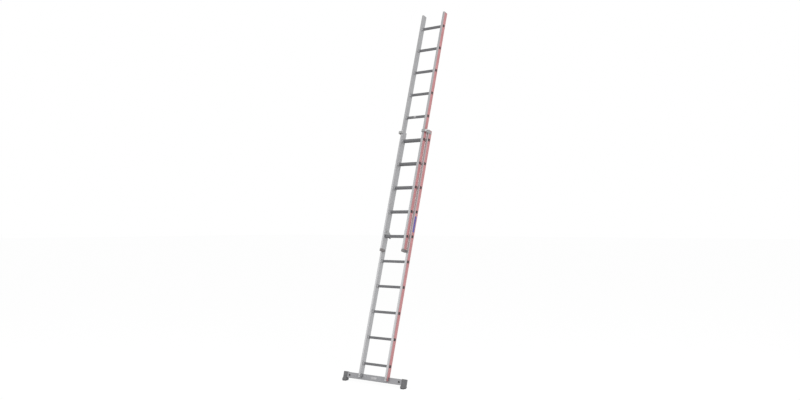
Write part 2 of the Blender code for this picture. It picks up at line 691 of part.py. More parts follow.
def add_latch(word, side, materials, parent):
    """Sprung flap on the hook's beak that closes its mouth under the base rung."""
    pivot_y, pivot_z = latch_pivot()
    inner = hook_face() - HOOK_THICKNESS - GAP
    half = LATCH_HEIGHT / 2
    outline = [(half, half), (half, -half), (-LATCH_REACH, -half * 0.6),
               (-LATCH_REACH, half)]
    radii = (half * 0.95, half * 0.95, LATCH_TIP_ROUND, LATCH_TIP_EDGE)
    pivot = empty(f"latch_pivot_{word}", parent, (0, pivot_y, pivot_z))
    bm = along_x(prism(rounded_polygon(outline, radii), inner - LATCH_THICKNESS, inner))
    latch = finish(f"latch_{word}", mirrored(bm, side), materials["steel"], pivot)
    radius = LATCH_PIN_RADIUS + GAP
    cut(latch, mirrored(along_x(turned([(radius, 0), (radius, UPPER_HALF)])), side))

    outside = hook_face() + GAP
    spring_room = 2 * SPRING_WIRE * (SPRING_TURNS + 1) + 2 * GAP
    end = inner - LATCH_THICKNESS - GAP - spring_room
    steps = [(LATCH_PIN_HEAD, end - LATCH_PIN_CLIP), (LATCH_PIN_HEAD, end),
             (LATCH_PIN_RADIUS, end), (LATCH_PIN_RADIUS, outside),
             (LATCH_PIN_HEAD, outside),
             (LATCH_PIN_HEAD * HEAD_TOP, outside + LATCH_PIN_HEAD_HEIGHT)]
    finish(f"latch_pin_{word}", mirrored(along_x(turned(steps)), side),
           materials["steel"], parent, (0, pivot_y, pivot_z))
    add_latch_spring(word, side, inner - LATCH_THICKNESS - GAP, materials["steel"], parent)


def add_latch_spring(word, side, start, material, parent):
    """Torsion spring wound round the latch pin, with one leg back along the beak."""
    pivot_y, pivot_z = latch_pivot()
    coil = LATCH_PIN_RADIUS + GAP + SPRING_WIRE
    pitch = 2 * SPRING_WIRE + SPRING_SPACE
    points = []
    first = start - SPRING_WIRE
    for step in range(SPRING_STEPS * SPRING_TURNS + 1):
        turns = step / SPRING_STEPS
        angle = 2 * math.pi * turns
        points.append((first - pitch * turns, coil * math.sin(angle),
                       -coil * math.cos(angle)))
    last = points[-1]
    points.append((last[0], last[1] + SPRING_LEG, last[2]))
    curve = bpy.data.curves.new(f"latch_spring_{word}", "CURVE")
    curve.dimensions = "3D"
    curve.bevel_depth = SPRING_WIRE
    curve.bevel_resolution = 1
    curve.use_fill_caps = True
    spline = curve.splines.new("POLY")
    spline.points.add(len(points) - 1)
    for point, (x, y, z) in zip(spline.points, points):
        point.co = (side * x, y, z, 1)
    curve.materials.append(material)
    spring = bpy.data.objects.new(curve.name, curve)
    bpy.context.scene.collection.objects.link(spring)
    spring.parent = parent
    spring.location = (0, pivot_y, pivot_z)


# Assembly ------------------------------------------------------------------

def centre_on_floor(root):
    """Set the soles on the floor and the ladder's box over the origin."""
    floor = FLOOR_AT_FOOT * math.cos(LEAN) - BAR_MIDDLE * math.sin(LEAN)
    root.location = (0, 0, -floor)
    bpy.context.view_layer.update()
    depsgraph = bpy.context.evaluated_depsgraph_get()
    lows, highs = [], []
    for obj in bpy.context.scene.objects:
        if obj.type == "EMPTY" or obj.hide_render:
            continue
        shown = obj.evaluated_get(depsgraph)
        mesh = shown.to_mesh()
        ys = [(shown.matrix_world @ vert.co).y for vert in mesh.vertices]
        shown.to_mesh_clear()
        lows.append(min(ys))
        highs.append(max(ys))
    root.location.y = -(min(lows) + max(highs)) / 2


def main():
    for obj in list(bpy.data.objects):
        bpy.data.objects.remove(obj)
    materials = make_materials()
    root = empty("ladder")
    root.rotation_euler = (-LEAN, 0, 0)
    upper = empty("upper_section", root, (0, -SECTION_OFFSET, UPPER_START))

    add_lower_section(root, materials)
    add_base_bar(root, materials)
    for word, side in SIDES.items():
        add_stile_plug(f"stile_plug_{word}", side, materials["plastic"], root)
        add_bar_bolt(word, side, materials["steel"], root)
        add_foot(word, side, materials, root)
        add_foot_screw(f"foot_screw_{word}", side, materials["plastic"], root)
        add_top_guide(word, side, materials, root)

    add_upper_section(upper, materials)
    for word, side in SIDES.items():
        add_hook(word, side, materials, upper)
        add_latch(word, side, materials, upper)

    centre_on_floor(root)


main()
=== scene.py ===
import json
import math
import bmesh
import bpy
from mathutils import Matrix, Vector


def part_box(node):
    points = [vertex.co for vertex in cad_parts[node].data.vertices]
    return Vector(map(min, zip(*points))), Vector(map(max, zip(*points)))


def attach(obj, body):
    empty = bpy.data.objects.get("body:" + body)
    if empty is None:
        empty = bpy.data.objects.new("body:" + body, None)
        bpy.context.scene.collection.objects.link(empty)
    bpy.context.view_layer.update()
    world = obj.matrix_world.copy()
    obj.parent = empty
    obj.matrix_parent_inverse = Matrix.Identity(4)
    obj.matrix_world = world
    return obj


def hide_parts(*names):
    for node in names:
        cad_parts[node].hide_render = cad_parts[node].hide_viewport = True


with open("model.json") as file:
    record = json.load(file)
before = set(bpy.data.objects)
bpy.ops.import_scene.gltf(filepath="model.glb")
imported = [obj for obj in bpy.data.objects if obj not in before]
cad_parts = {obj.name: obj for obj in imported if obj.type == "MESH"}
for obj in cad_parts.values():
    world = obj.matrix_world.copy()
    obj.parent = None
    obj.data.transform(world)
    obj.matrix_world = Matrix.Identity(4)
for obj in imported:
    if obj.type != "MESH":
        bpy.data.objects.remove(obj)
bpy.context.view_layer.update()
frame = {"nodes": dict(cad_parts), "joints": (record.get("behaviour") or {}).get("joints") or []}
print("frame loaded")

slide = next(joint for joint in frame["joints"] if joint["name"] == "extension_slide")
upAxis = Vector(slide["axis"]).normalized()
lean = math.atan2(upAxis.y, upAxis.z)  # top away from the climber
toWorld = Matrix.Rotation(-lean, 4, "X")  # the ladder's own axes, leaned over
toLadder = toWorld.inverted()
sides = {"left": -1, "right": 1}
rungCount = sum(name.startswith("lower_rung_") for name in frame["nodes"])


# places, all in the ladder's own axes: x across, y to the wall, z up the stiles

def span(*names):
    points = [toLadder @ vertex.co for name in names
              for vertex in frame["nodes"][name].data.vertices]
    low = Vector([min(point[axis] for point in points) for axis in range(3)])
    high = Vector([max(point[axis] for point in points) for axis in range(3)])
    return low, high


def middle(*names):
    low, high = span(*names)
    return (low + high) / 2


def sectionSizes(word):
    stileLow, stileHigh = span(f"{word}_stile_right")
    first = middle(f"{word}_rung_01")
    last = middle(f"{word}_rung_{rungCount:02d}")
    rungLow, rungHigh = span(f"{word}_rung_01")
    return {"half": stileHigh.x, "inner": stileLow.x, "front": stileLow.y, "back": stileHigh.y,
            "top": stileHigh.z, "first": first,
            "pitch": (last.z - first.z) / (rungCount - 1), "rungLength": rungHigh.x - rungLow.x,
            "rungSide": rungHigh.y - rungLow.y}


sections = {word: sectionSizes(word) for word in ("lower", "upper")}
bodies = {word: f"{word}_section" for word in sections}


# node helpers, shared by the shapes and the finishes

def wiring(tree):
    def add(kind, values=None, **settings):
        node = tree.nodes.new(kind)
        for label, value in settings.items():
            setattr(node, label, value)
        for key, value in (values or {}).items():
            for single in value if isinstance(value, list) else [value]:
                if isinstance(single, bpy.types.NodeSocket):
                    tree.links.new(single, node.inputs[key])
                else:
                    node.inputs[key].default_value = single
        return node
    return add


# finishes

def gridVector(add, size):  # ladder axes, where one unit is the given size in metres
    place = add("ShaderNodeTexCoord").outputs["Object"]
    turned = add("ShaderNodeMapping", {"Vector": place, "Rotation": (-lean, 0, 0), "Scale": size},
                 vector_type="TEXTURE")
    return turned.outputs["Vector"]


def noise(add, size, detail=2.0, roughness=0.5):
    values = {"Vector": gridVector(add, size), "Scale": 1.0, "Detail": detail,
              "Roughness": roughness}
    return add("ShaderNodeTexNoise", values).outputs["Fac"]


def spread(add, value, low, high, fromLow=0.3, fromHigh=0.7):
    values = {"Value": value, "From Min": fromLow, "From Max": fromHigh, "To Min": low,
              "To Max": high}
    return add("ShaderNodeMapRange", values).outputs["Result"]


def blendColours(add, factor, first, second):
    values = {0: factor, 6: first, 7: second}
    return add("ShaderNodeMix", values, data_type="RGBA").outputs[2]


def blendNumbers(add, factor, first, second):
    return add("ShaderNodeMix", {0: factor, 2: first, 3: second}).outputs[0]


def maths(add, operation, *values):
    return add("ShaderNodeMath", dict(enumerate(values)), operation=operation).outputs[0]


def startFinish(name):
    material = bpy.data.materials.new(name)
    material.use_nodes = True
    material.node_tree.nodes.clear()
    return material, wiring(material.node_tree)


def endFinish(add, colour, roughness, metallic, height=None, depth=0.0002, strength=0.3, **fixed):
    values = {"Base Color": colour, "Roughness": roughness, "Metallic": metallic}
    for label, value in fixed.items():
        values[label.replace("_", " ")] = value
    if height is not None:
        bumpValues = {"Height": height, "Distance": depth, "Strength": strength}
        values["Normal"] = add("ShaderNodeBump", bumpValues).outputs["Normal"]
    shader = add("ShaderNodeBsdfPrincipled", values)
    add("ShaderNodeOutputMaterial", {"Surface": shader.outputs[0]})


def srgb(red, green, blue):  # colour as it looks on a screen, 0 to 255
    parts = [part / 255 for part in (red, green, blue)]
    return tuple(part / 12.92 if part <= 0.04045 else ((part + 0.055) / 1.055) ** 2.4
                 for part in parts) + (1,)


# the uncoated band along the front edge of the outer face is partly bare metal and partly a painted
# highlight standing in for light on the rounded front corner
stileFinish = {"bare": srgb(190, 190, 191), "bareDark": srgb(168, 168, 170),
               "coat": srgb(204, 146, 147), "coatDark": srgb(184, 122, 124),
               "dieLine": (0.0016, 0.0016, 0.5), "smudge": (0.03, 0.03, 0.11),
               "wear": (0.002, 0.002, 0.012), "bareBandAndHighlight": 0.009, "bareBandAndHighlightFade": 0.0004,
               "edge": 0.0011, "edgeWear": 0.0009,
               "bareMetallic": 0.55, "coatMetallic": 0.1}


def makeStileFinish(name, section):
    finish = stileFinish
    material, add = startFinish(name)
    lines = noise(add, finish["dieLine"], detail=3.0)
    smudges = noise(add, finish["smudge"], detail=4.0, roughness=0.6)
    wear = noise(add, finish["wear"], detail=3.0)
    streaks = spread(add, lines, 0, 1)
    bare = blendColours(add, streaks, finish["bareDark"], finish["bare"])
    coat = blendColours(add, spread(add, smudges, 0, 1), finish["coatDark"], finish["coat"])
    place = add("ShaderNodeSeparateXYZ", {"Vector": gridVector(add, (1, 1, 1))})
    out = maths(add, "ABSOLUTE", place.outputs["X"])
    worn = spread(add, wear, 0, finish["edgeWear"])
    depth = maths(add, "SUBTRACT", maths(add, "SUBTRACT", out, worn),
                  section["half"] - finish["edge"])
    outside = spread(add, depth, 0, 1, -0.0001, 0.0001)
    # no coat in the band just behind the front face: bare metal there, and in part a painted highlight on
    # the front corner
    behind = maths(add, "SUBTRACT", place.outputs["Y"], worn)
    edge = section["front"] + finish["bareBandAndHighlight"]
    pastBareBandAndHighlight = spread(add, behind, 0, 1, edge, edge + finish["bareBandAndHighlightFade"])
    coated = maths(add, "MULTIPLY", outside, pastBareBandAndHighlight)
    colour = blendColours(add, coated, bare, coat)
    roughness = blendNumbers(add, coated, spread(add, lines, 0.34, 0.46),
                             spread(add, smudges, 0.40, 0.56))
    metallic = blendNumbers(add, coated, finish["bareMetallic"], finish["coatMetallic"])
    height = maths(add, "ADD", lines, maths(add, "MULTIPLY", coated, 1.5))
    endFinish(add, colour, roughness, metallic, height, depth=0.00006, strength=0.6)
    return material


metalFinishes = {
    "rung": {"light": srgb(122, 122, 124), "dark": srgb(98, 98, 101), "line": (0.30, 0.0009, 0.0009),
             "smudge": (0.05, 0.02, 0.02), "roughness": (0.38, 0.55), "metallic": 0.45},
    "bar": {"light": srgb(158, 158, 160), "dark": srgb(134, 134, 137), "line": (0.40, 0.0012, 0.0012),
            "smudge": (0.09, 0.03, 0.03), "roughness": (0.36, 0.50), "metallic": 0.5},
    "zinc": {"light": srgb(182, 182, 181), "dark": srgb(156, 157, 158), "line": (0.0030, 0.0030, 0.0030),
             "smudge": (0.012, 0.012, 0.012), "roughness": (0.24, 0.42), "metallic": 0.7},
    "swage": {"light": srgb(186, 186, 187), "dark": srgb(158, 158, 160), "line": (0.0020, 0.0020, 0.0020),
              "smudge": (0.010, 0.010, 0.010), "roughness": (0.28, 0.45), "metallic": 0.6},
}


def makeMetalFinish(name):
    finish = metalFinishes[name]
    material, add = startFinish(name + "Metal")
    lines = noise(add, finish["line"], detail=3.0)
    smudges = noise(add, finish["smudge"], detail=4.0, roughness=0.6)
    both = maths(add, "MULTIPLY_ADD", lines, 0.6, maths(add, "MULTIPLY", smudges, 0.4))
    colour = blendColours(add, spread(add, both, 0, 1, 0.35, 0.65), finish["dark"], finish["light"])
    roughness = spread(add, smudges, *finish["roughness"])
    endFinish(add, colour, roughness, finish["metallic"], lines, depth=0.00005, strength=0.5)
    return material


mouldedFinishes = {
    "blackPlastic": {"light": srgb(62, 60, 60), "dark": srgb(44, 43, 43), "grain": 0.0011,
                     "cloud": 0.02, "roughness": (0.42, 0.58), "depth": 0.00008},
    "shoePlastic": {"light": srgb(134, 129, 129), "dark": srgb(112, 108, 108), "grain": 0.0012,
                    "cloud": 0.02, "roughness": (0.42, 0.58), "depth": 0.00008},
    "capPlastic": {"light": srgb(150, 146, 148), "dark": srgb(128, 124, 127), "grain": 0.0012,
                   "cloud": 0.03, "roughness": (0.45, 0.60), "depth": 0.00008},
    "footPlastic": {"light": srgb(118, 118, 119), "dark": srgb(94, 94, 96), "grain": 0.0014,
                    "cloud": 0.03, "roughness": (0.50, 0.66), "depth": 0.00012},
    "soleRubber": {"light": srgb(66, 66, 67), "dark": srgb(42, 42, 43), "grain": 0.0018,
                   "cloud": 0.02, "roughness": (0.72, 0.88), "depth": 0.00020},
}


def makeMouldedFinish(name):
    finish = mouldedFinishes[name]
    material, add = startFinish(name)
    grain = noise(add, (finish["grain"],) * 3, detail=3.0, roughness=0.6)
    cloud = noise(add, (finish["cloud"],) * 3, detail=4.0, roughness=0.6)
    both = maths(add, "MULTIPLY_ADD", grain, 0.35, maths(add, "MULTIPLY", cloud, 0.65))
    colour = blendColours(add, spread(add, both, 0, 1, 0.35, 0.65), finish["dark"], finish["light"])
    roughness = spread(add, grain, *finish["roughness"])
    endFinish(add, colour, roughness, 0.0, grain, depth=finish["depth"], strength=0.6)
    return material


labelFinish = {"blue": srgb(96, 96, 172), "blueDark": srgb(78, 78, 150), "pale": srgb(196, 195, 196),
               "paleDark": srgb(176, 175, 177), "scuff": (0.012, 0.012, 0.02)}


def makeLabelFinish(name, light, dark):
    material, add = startFinish(name)
    scuffs = noise(add, labelFinish["scuff"], detail=5.0, roughness=0.65)
    colour = blendColours(add, spread(add, scuffs, 0, 1, 0.4, 0.62), dark, light)
    roughness = spread(add, scuffs, 0.55, 0.32)
    endFinish(add, colour, roughness, 0.0, scuffs, depth=0.00004, strength=0.4)
    return material


finishes = {name: makeMetalFinish(name) for name in metalFinishes}
finishes.update({name: makeMouldedFinish(name) for name in mouldedFinishes})
finishes["lowerStile"] = makeStileFinish("lowerStileMetal", sections["lower"])
finishes["upperStile"] = makeStileFinish("upperStileMetal", sections["upper"])
finishes["blueLabel"] = makeLabelFinish("blueLabel", labelFinish["blue"], labelFinish["blueDark"])
finishes["paleLabel"] = makeLabelFinish("paleLabel", labelFinish["pale"], labelFinish["paleDark"])
print("finishes made")

nodeFinishes = {
    "lower_stile": "lowerStile", "upper_stile": "upperStile", "base_bar": "bar",
    "top_guide": "zinc", "hook": "zinc", "hook_rivet": "zinc", "latch": "zinc",
    "latch_pin": "zinc", "latch_spring": "zinc", "bar_bolt": "zinc", "bar_nut": "zinc",
    "guide_bolt": "zinc", "foot_screw": "blackPlastic", "lower_cap": "capPlastic",
    "upper_cap": "capPlastic", "bar_foot": "footPlastic", "foot_sole": "soleRubber",
    "stile_plug": "blackPlastic", "slide_shoe": "shoePlastic", "guide_pad": "blackPlastic",
    "lower_rung": "rung", "upper_rung": "rung",
}

for name, node in frame["nodes"].items():
    stem = name.rsplit("_", 1)[0] if name != "base_bar" else name
    node.data.materials.clear()
    node.data.materials.append(finishes[nodeFinishes[stem]])
print("finishes on the frame's own nodes")


# shape helpers

def socketKind(value):
    kinds = {bpy.types.Material: "NodeSocketMaterial", int: "NodeSocketInt",
             float: "NodeSocketFloat", Vector: "NodeSocketVector"}
    return kinds[type(value)]


def startTree(name, sizes, points=False):
    tree = bpy.data.node_groups.new(name, "GeometryNodeTree")
    if points:
        tree.interface.new_socket("Points", in_out="INPUT", socket_type="NodeSocketGeometry")
    for label, value in sizes.items():
        tree.interface.new_socket(label, in_out="INPUT", socket_type=socketKind(value))
    tree.interface.new_socket("Geometry", in_out="OUTPUT", socket_type="NodeSocketGeometry")
    return tree, wiring(tree), tree.nodes.new("NodeGroupInput").outputs


def endTree(tree, add, geometry, material):
    real = add("GeometryNodeRealizeInstances", {"Geometry": geometry}).outputs[0]
    painted = add("GeometryNodeSetMaterial", {"Geometry": real, "Material": material}).outputs[0]
    tree.links.new(painted, tree.nodes.new("NodeGroupOutput").inputs[0])


def tidyMesh(mesh, angle=40):
    bm = bmesh.new()
    bm.from_mesh(mesh)
    bmesh.ops.remove_doubles(bm, verts=bm.verts, dist=1e-6)
    bmesh.ops.recalc_face_normals(bm, faces=bm.faces)
    bm.to_mesh(mesh)
    bm.free()
    mesh.shade_smooth()
    mesh.set_sharp_from_angle(angle=math.radians(angle))


def grow(name, tree, sizes, points=(), angle=40):  # runs a tree and keeps a plain mesh
    seeds = bpy.data.meshes.new(name)
    seeds.from_pydata([place for place, facing in points], [], [])
    if points:
        facings = seeds.attributes.new("facing", "FLOAT_VECTOR", "POINT")
        for item, (place, facing) in zip(facings.data, points):
            item.vector = facing
    piece = bpy.data.objects.new(name, seeds)
    modifier = piece.modifiers.new("shape", "NODES")
    modifier.node_group = tree
    for item in tree.interface.items_tree:
        if item.name in sizes:
            modifier[item.identifier] = sizes[item.name]
    bpy.context.scene.collection.objects.link(piece)
    depsgraph = bpy.context.evaluated_depsgraph_get()
    plain = bpy.data.meshes.new_from_object(piece.evaluated_get(depsgraph))
    piece.modifiers.clear()
    piece.data = plain
    tidyMesh(plain, angle)
    plain.transform(toWorld)
    return piece


def settle(piece, body):
    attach(piece, body)
    return piece


def roundedOutline(add, width, height, radius, steps=3):
    box = add("GeometryNodeCurvePrimitiveQuadrilateral", {"Width": width, "Height": height})
    values = {"Curve": box.outputs[0], "Radius": radius, "Count": steps}
    return add("GeometryNodeFilletCurve", values, mode="POLY").outputs[0]


def stacked(add, outline, steps):  # closed pad from a flat outline, each step (rise, scale)
    flat = add("GeometryNodeFillCurve", {"Curve": outline}, mode="NGONS").outputs[0]
    shell = flat
    values = {}
    for rise, scale in steps:
        values.update({"Mesh": shell, "Offset": (0, 0, 1), "Offset Scale": rise,
                       "Individual": False})
        lifted = add("GeometryNodeExtrudeMesh", values, mode="FACES")
        shell = lifted.outputs["Mesh"]
        values["Selection"] = lifted.outputs["Top"]
        if scale != 1:
            scaled = {"Geometry": shell, "Selection": lifted.outputs["Top"], "Scale": scale}
            shell = add("GeometryNodeScaleElements", scaled, domain="FACE").outputs[0]
    both = add("GeometryNodeJoinGeometry", {0: [shell, flat]}).outputs[0]
    return add("GeometryNodeMergeByDistance", {"Geometry": both, "Distance": 1e-6}).outputs[0]


def placed(add, geometry, place=(0, 0, 0), turn=(0, 0, 0), scale=(1, 1, 1)):
    values = {"Geometry": geometry, "Translation": place, "Rotation": turn, "Scale": scale}
    return add("GeometryNodeTransform", values).outputs[0]


def vectorOf(add, x=0.0, y=0.0, z=0.0):
    return add("ShaderNodeCombineXYZ", {"X": x, "Y": y, "Z": z}).outputs[0]


def bothEnds(add, geometry, reach):  # a pair facing outwards at plus and minus reach on x
    quarter = math.pi / 2
    right = placed(add, geometry, vectorOf(add, x=reach), (0, quarter, 0))
    left = placed(add, geometry, vectorOf(add, x=maths(add, "MULTIPLY", reach, -1.0)),
                  (0, -quarter, 0))
    return add("GeometryNodeJoinGeometry", {0: [right, left]}).outputs[0]


def upTheStiles(add, geometry, source):
    values = {"Count": source["Count"], "Start Location": source["First"],
              "Offset": vectorOf(add, z=source["Pitch"])}
    line = add("GeometryNodeMeshLine", values, mode="OFFSET").outputs[0]
    values = {"Points": line, "Instance": geometry}
    return add("GeometryNodeInstanceOnPoints", values).outputs[0]


# rungs, fluted all round

rungShape = {"corner": 0.0045, "flutesPerSide": 5, "stepsPerFlute": 6, "fluteDepth": 0.0006}


def rungSizes(section):
    return {"Count": rungCount, "First": section["first"], "Pitch": section["pitch"],
            "Length": section["rungLength"], "Side": section["rungSide"],
            "Corner": rungShape["corner"], "Flutes": 4 * rungShape["flutesPerSide"],
            "Flute Depth": rungShape["fluteDepth"], "Material": finishes["rung"]}


def makeRungTree():
    tree, add, source = startTree("flutedRungs", rungSizes(sections["lower"]))
    side = source["Side"]
    outline = roundedOutline(add, side, side, source["Corner"], steps=6)
    count = maths(add, "MULTIPLY", source["Flutes"], rungShape["stepsPerFlute"])
    outline = add("GeometryNodeResampleCurve", {"Curve": outline, "Count": count}).outputs[0]
    factor = add("GeometryNodeSplineParameter").outputs["Factor"]
    turns = maths(add, "MULTIPLY", maths(add, "MULTIPLY", factor, source["Flutes"]), 2 * math.pi)
    wave = maths(add, "MULTIPLY_ADD", maths(add, "COSINE", turns), -0.5, 0.5)
    share = maths(add, "DIVIDE", maths(add, "MULTIPLY", wave, source["Flute Depth"]),
                  maths(add, "MULTIPLY", side, 0.5))
    keep = maths(add, "SUBTRACT", 1.0, share)
    place = add("GeometryNodeInputPosition").outputs[0]
    pulled = add("ShaderNodeVectorMath", {0: place, "Scale": keep}, operation="SCALE").outputs[0]
    fluted = add("GeometryNodeSetPosition", {"Geometry": outline, "Position": pulled}).outputs[0]
    half = maths(add, "MULTIPLY", source["Length"], 0.5)
    values = {"Start": vectorOf(add, x=maths(add, "MULTIPLY", half, -1.0)),
              "End": vectorOf(add, x=half)}
    line = add("GeometryNodeCurvePrimitiveLine", values).outputs[0]
    values = {"Curve": line, "Profile Curve": fluted, "Fill Caps": True}
    rung = add("GeometryNodeCurveToMesh", values).outputs[0]
    endTree(tree, add, upTheStiles(add, rung, source), source["Material"])
    return tree


rungTree = makeRungTree()
for word, section in sections.items():
    rungs = grow(f"{word}Rungs", rungTree, rungSizes(section), angle=50)
    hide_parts(*[f"{word}_rung_{number:02d}" for number in range(1, rungCount + 1)])
    settle(rungs, bodies[word])
print("rungs")


# moulded plugs over the rung ends

plugShape = {"side": 0.0300, "corner": 0.0050, "rim": 0.0012, "crown": 0.0011, "crownScale": 0.86,
             "dishScale": 0.80, "dish": -0.0008, "off": 0.0002}


def plugSizes(section):
    return {"Count": rungCount, "First": section["first"], "Pitch": section["pitch"],
            "Reach": section["half"] + plugShape["off"], "Side": plugShape["side"],
            "Corner": plugShape["corner"], "Rim": plugShape["rim"], "Crown": plugShape["crown"],
            "Dish": plugShape["dish"], "Material": finishes["blackPlastic"]}


def makePlugTree():
    tree, add, source = startTree("rungPlugs", plugSizes(sections["lower"]))
    outline = roundedOutline(add, source["Side"], source["Side"], source["Corner"], steps=5)
    plug = stacked(add, outline, [(source["Rim"], 1), (source["Crown"], plugShape["crownScale"]),
                                  (0.0, plugShape["dishScale"]), (source["Dish"], 0.9)])
    pair = bothEnds(add, plug, source["Reach"])
    endTree(tree, add, upTheStiles(add, pair, source), source["Material"])
    return tree


plugTree = makePlugTree()
for word, section in sections.items():
    plugs = grow(f"{word}RungPlugs", plugTree, plugSizes(section), angle=30)
    settle(plugs, bodies[word])
print("rung plugs")


# tapered collars where the rungs meet the inner faces

collarShape = {"reach": 0.0145, "over": 0.0042, "tip": 0.0006, "corner": 0.0062, "lip": 0.0016}


def collarSizes(word, section):
    skipped = 1 if word == "upper" else 0  # the hook plates cover the first pair
    first = section["first"] + Vector((0, 0, skipped * section["pitch"]))
    side = section["rungSide"] + 2 * collarShape["over"]
    return {"Count": rungCount - skipped, "First": first, "Pitch": section["pitch"],
            "Reach": -section["inner"], "Side": side, "Corner": collarShape["corner"],
            "Lip": collarShape["lip"], "Slope": collarShape["reach"] - collarShape["lip"],
            "Narrowing": (section["rungSide"] + 2 * collarShape["tip"]) / side,
            "Material": finishes["swage"]}


def makeCollarTree():
    tree, add, source = startTree("rungCollars", collarSizes("lower", sections["lower"]))
    outline = roundedOutline(add, source["Side"], source["Side"], source["Corner"], steps=5)
    collar = stacked(add, outline, [(source["Lip"], 1), (source["Slope"], source["Narrowing"])])
    pair = bothEnds(add, collar, source["Reach"])
    endTree(tree, add, upTheStiles(add, pair, source), source["Material"])
    return tree


collarTree = makeCollarTree()
for word, section in sections.items():
    collars = grow(f"{word}RungCollars", collarTree, collarSizes(word, section), angle=40)
    settle(collars, bodies[word])
print("rung collars")


# domed rivets and flat washers, set on points that carry their facing

rivetShape = {"radius": 0.0028, "rim": 0.0006, "dome": 0.0016, "sides": 16,
              "belowTop": 0.008, "apart": 0.5, "upShoe": 0.5}


def rivetSizes(radius, finish):
    return {"Radius": radius, "Rim": rivetShape["rim"], "Dome": rivetShape["dome"],
            "Material": finishes[finish]}


def facingInstances(add, points, instance):
    facing = add("GeometryNodeInputNamedAttribute", {"Name": "facing"},
                 data_type="FLOAT_VECTOR").outputs["Attribute"]
    turn = add("FunctionNodeAlignRotationToVector", {"Vector": facing}, axis="Z").outputs[0]
    values = {"Points": points, "Instance": instance, "Rotation": turn}
    return add("GeometryNodeInstanceOnPoints", values).outputs[0]


def makeRivetTree():
    tree, add, source = startTree("domedRivets", rivetSizes(rivetShape["radius"], "zinc"), True)
    circle = add("GeometryNodeCurvePrimitiveCircle",
                 {"Resolution": rivetShape["sides"], "Radius": source["Radius"]}).outputs[0]
    third = maths(add, "DIVIDE", source["Dome"], 3.0)
    head = stacked(add, circle, [(source["Rim"], 1), (third, 0.88), (third, 0.78), (third, 0.5)])
    endTree(tree, add, facingInstances(add, source["Points"], head), source["Material"])
    return tree


rivetTree = makeRivetTree()


def capRivetPoints(section):
    level = section["top"] - rivetShape["belowTop"]
    halfDepth = (section["back"] - section["front"]) / 2
    centre = (section["back"] + section["front"]) / 2
    offset = halfDepth * rivetShape["apart"]
    return [((side * section["half"], centre + along * offset, level), (side, 0, 0))
            for side in sides.values() for along in (-1, 1)]


def shoeRivetPoints():
    low, high = span("slide_shoe_right")
    upper = sections["upper"]
    across = (upper["half"] + upper["inner"]) / 2
    level = low.z + rivetShape["upShoe"] * (high.z - low.z)
    return [((side * across, low.y, level), (0, -1, 0)) for side in sides.values()]


capRivets = {"lower": capRivetPoints(sections["lower"]), "upper": capRivetPoints(sections["upper"])}
capRivets["upper"] += shoeRivetPoints()
for word, points in capRivets.items():
    rivets = grow(f"{word}Rivets", rivetTree, rivetSizes(rivetShape["radius"], "zinc"), points, 30)
    settle(rivets, bodies[word])
print("rivets")

washerShape = {"guide": (0.0080, 0.0008), "bolt": (0.0100, 0.0010), "footScrew": (0.0128, 0.0010),
               "hole": 0.55, "sides": 24}


def washerSizes(radius, thickness):
    return {"Radius": radius, "Thickness": thickness, "Hole": washerShape["hole"],
            "Material": finishes["zinc"]}


def makeWasherTree():
    tree, add, source = startTree("washers", washerSizes(*washerShape["guide"]), True)
    across = maths(add, "SUBTRACT", source["Radius"],
                   maths(add, "MULTIPLY", source["Radius"], source["Hole"]))
    section = roundedOutline(add, across, source["Thickness"],
                             maths(add, "MULTIPLY", source["Thickness"], 0.3), steps=2)
    path = maths(add, "SUBTRACT", source["Radius"], maths(add, "MULTIPLY", across, 0.5))
    circle = add("GeometryNodeCurvePrimitiveCircle",
                 {"Resolution": washerShape["sides"], "Radius": path}).outputs[0]
    values = {"Curve": circle, "Profile Curve": section}
    ring = add("GeometryNodeCurveToMesh", values).outputs[0]
    lifted = placed(add, ring, vectorOf(add, z=maths(add, "MULTIPLY", source["Thickness"], 0.5)))
    endTree(tree, add, facingInstances(add, source["Points"], lifted), source["Material"])
    return tree


washerTree = makeWasherTree()


def frontPoints(stem, surface):  # in front of a pair of bolts that face the climber
    return [(Vector((middle(f"{stem}_{word}").x, surface, middle(f"{stem}_{word}").z)), (0, -1, 0))
            for word in sides]


washerPoints = {"bolt": frontPoints("bar_bolt", sections["lower"]["front"]),
                "footScrew": frontPoints("foot_screw", span("base_bar")[0].y)}
strapFace = span("top_guide_right")[1].x
washerPoints["guide"] = [(Vector((side * strapFace, middle(f"guide_bolt_{word}").y,
                                  middle(f"guide_bolt_{word}").z)), (side, 0, 0))
                         for word, side in sides.items()]
for use, points in washerPoints.items():
    washers = grow(f"{use}Washers", washerTree, washerSizes(*washerShape[use]), points, 30)
    settle(washers, bodies["lower"])
print("washers")


# ribbed soles, level with the floor

soleShape = {"ribs": 7, "ribShare": 0.62, "web": 0.42, "corner": 0.0008}


def soleSizes():
    low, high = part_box("foot_sole_right")
    return {"Ribs": soleShape["ribs"], "Length": high.x - low.x, "Depth": high.y - low.y,
            "Height": high.z - low.z, "Rib Share": soleShape["ribShare"], "Web": soleShape["web"],
            "Corner": soleShape["corner"], "Material": finishes["soleRubber"]}


def softBlock(add, width, height, radius, depth):  # rounded block along y, centred
    outline = roundedOutline(add, width, height, radius, steps=3)
    block = stacked(add, outline, [(depth, 1)])
    drawn = placed(add, block, turn=(math.pi / 2, 0, 0))
    return placed(add, drawn, vectorOf(add, y=maths(add, "MULTIPLY", depth, 0.5)))


